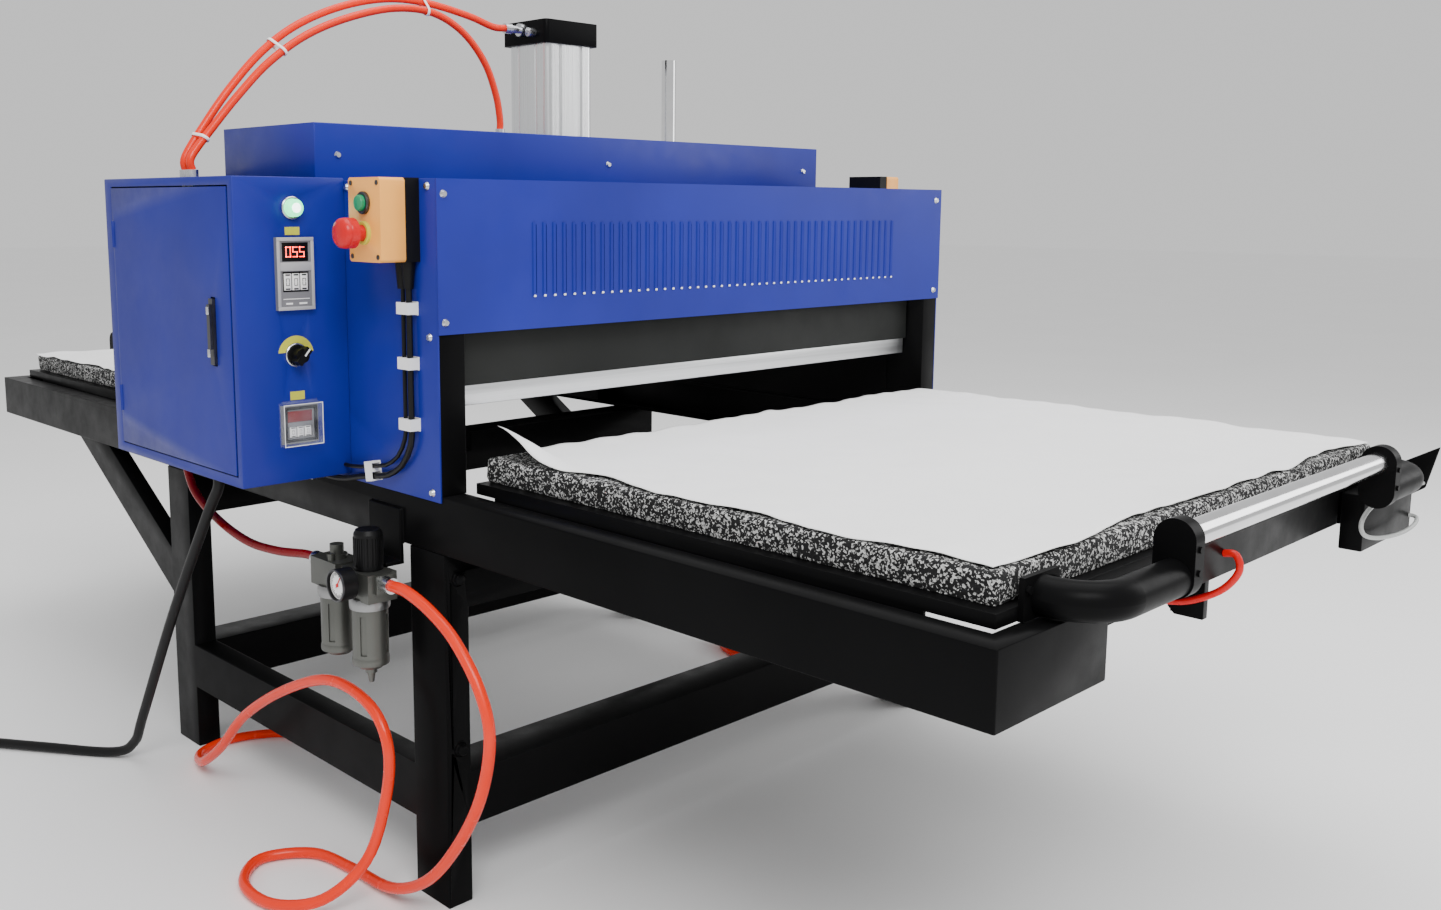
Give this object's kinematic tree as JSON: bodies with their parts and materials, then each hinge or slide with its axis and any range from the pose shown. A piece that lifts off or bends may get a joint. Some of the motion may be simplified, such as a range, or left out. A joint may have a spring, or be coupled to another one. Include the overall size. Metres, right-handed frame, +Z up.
{
  "type": "double-station pneumatic heat press",
  "caption": "Large-format pneumatic heat press with a fixed blue heated head, a side control box and two padded tables on long rails.",
  "frame": {"origin": "bottom centre of the machine's bounding box, cords left out", "axes": "+Z up; -Y towards the front table's handle, +Y towards the rear table; +X to the right when facing the machine from the front"},
  "size_m": [1.832, 2.67, 1.3165],
  "materials": {
    "frame_black": "satin black enamel",
    "panel_blue": "satin blue powder coat",
    "bright_steel": "bright",
    "bolt_dark": "dull dark steel",
    "chrome": "polished",
    "alloy": "fine machined",
    "cast_alloy": "grey zinc casting",
    "shield_dark": "matt heat-proof grey",
    "insulation_wool": "mineral wool board",
    "black_plastic": "matt",
    "grey_plastic": "matt",
    "yellow_plastic": "satin amber yellow",
    "white_plastic": "matt",
    "red_plastic": "gloss",
    "green_plastic": "gloss",
    "green_lens": "lit lens",
    "label_print": "printed foil",
    "clear_cover": "clear moulded",
    "hose_orange": "satin polyurethane tube",
    "hose_red": "satin polyurethane tube",
    "cable_black": "matt",
    "cable_grey": "matt",
    "foam_black": "rebonded open foam",
    "sheet_white": "woven, matt",
    "needle_red": "matt"
  },
  "bodies": {
    "machine": {"lower_frame": "frame_black", "rails": "frame_black", "upper_frame": "frame_black", "side_panels": "panel_blue", "louvre_panels": "panel_blue", "top_cover": "panel_blue", "upper_housing": "panel_blue", "fasteners": "bright_steel", "control_box": "panel_blue", "control_gear": "grey_plastic", "pilot_lamp": "green_lens", "control_labels": "label_print", "control_meters": "grey_plastic", "pendant_left_base": "black_plastic", "pendant_left_lid": "yellow_plastic", "pendant_right_base": "black_plastic", "pendant_right_lid": "yellow_plastic", "cable_clips": "white_plastic", "clipped_cables": "cable_black", "cylinder_body": "alloy", "cylinder_caps": "frame_black", "air_fittings": "bright_steel", "air_unit_body": "cast_alloy", "air_unit_bowls": "cast_alloy", "gauge_body": "black_plastic", "supply_hose": "hose_orange", "supply_coil": "hose_orange", "supply_connector": "bright_steel", "link_hose": "hose_red", "arch_hose_a": "hose_orange", "arch_hose_b": "hose_orange", "power_cable": "cable_black", "power_coil": "cable_black", "power_plug": "black_plastic", "sensor_cable": "cable_grey"},
    "front_table": {"front_deck": "frame_black", "front_pad": "foam_black", "front_sheet": "sheet_white", "front_arms": "frame_black", "front_grip": "chrome", "table_hose": "hose_red"},
    "rear_table": {"rear_deck": "frame_black", "rear_pad": "foam_black", "rear_sheet": "sheet_white", "rear_arms": "frame_black", "rear_grip": "chrome"},
    "press_head": {"platen": "alloy", "insulation": "insulation_wool", "heat_shield": "shield_dark", "press_rods": "chrome"},
    "box_door": {"control_door": "panel_blue"},
    "latch": {"door_latch": "bolt_dark"},
    "start_left": {"start_button_left": "green_plastic"},
    "stop_left": {"stop_button_left": "red_plastic"},
    "start_right": {"start_button_right": "green_plastic"},
    "stop_right": {"stop_button_right": "red_plastic"},
    "selector": {"selector_knob": "black_plastic"},
    "meter_cover": {"timer_cover": "clear_cover"},
    "regulator": {"regulator_knob": "black_plastic"},
    "needle": {"gauge_needle": "needle_red"}
  },
  "joints": [
    {"name": "front_table_slide", "type": "slide", "parent": "machine", "child": "front_table", "axis": [0, 1, 0], "range_m": [0, 0.84]},
    {"name": "rear_table_slide", "type": "slide", "parent": "machine", "child": "rear_table", "axis": [0, 1, 0], "range_m": [-0.84, 0]},
    {"name": "press_stroke", "type": "slide", "parent": "machine", "child": "press_head", "axis": [0, 0, -1], "range_m": [0, 0.063]},
    {"name": "door_hinge", "type": "hinge", "parent": "machine", "child": "box_door", "pos_m": [-0.701, 0.1865, 0.8], "axis": [0, 0, 1], "range_deg": [-110, 0]},
    {"name": "latch_lift", "type": "hinge", "parent": "box_door", "child": "latch", "pos_m": [-0.7012, -0.141, 0.761], "axis": [0, -1, 0], "range_deg": [0, 30], "stiffness_Nm_per_rad": 0.05},
    {"name": "start_left_press", "type": "slide", "parent": "machine", "child": "start_left", "axis": [1, 0, 0], "range_m": [0, 0.004], "stiffness_N_per_m": 400},
    {"name": "stop_left_press", "type": "slide", "parent": "machine", "child": "stop_left", "axis": [1, 0, 0], "range_m": [0, 0.005]},
    {"name": "start_right_press", "type": "slide", "parent": "machine", "child": "start_right", "axis": [-1, 0, 0], "range_m": [0, 0.004], "stiffness_N_per_m": 400},
    {"name": "stop_right_press", "type": "slide", "parent": "machine", "child": "stop_right", "axis": [-1, 0, 0], "range_m": [0, 0.005]},
    {"name": "selector_turn", "type": "hinge", "parent": "machine", "child": "selector", "pos_m": [-0.614, -0.207, 0.77], "axis": [0, 1, 0], "range_deg": [-90, 0]},
    {"name": "meter_cover_flip", "type": "hinge", "parent": "machine", "child": "meter_cover", "pos_m": [-0.613, -0.2105, 0.704], "axis": [-1, 0, 0], "range_deg": [0, 90]},
    {"name": "regulator_turn", "type": "hinge", "parent": "machine", "child": "regulator", "pos_m": [-0.578, -0.323, 0.51], "axis": [0, 0, 1], "range_deg": [-180, 180]},
    {"name": "needle_swing", "type": "hinge", "parent": "machine", "child": "needle", "pos_m": [-0.628, -0.323, 0.466], "axis": [1, 0, 0], "range_deg": [-90, 150], "stiffness_Nm_per_rad": 0.0005}
  ]
}
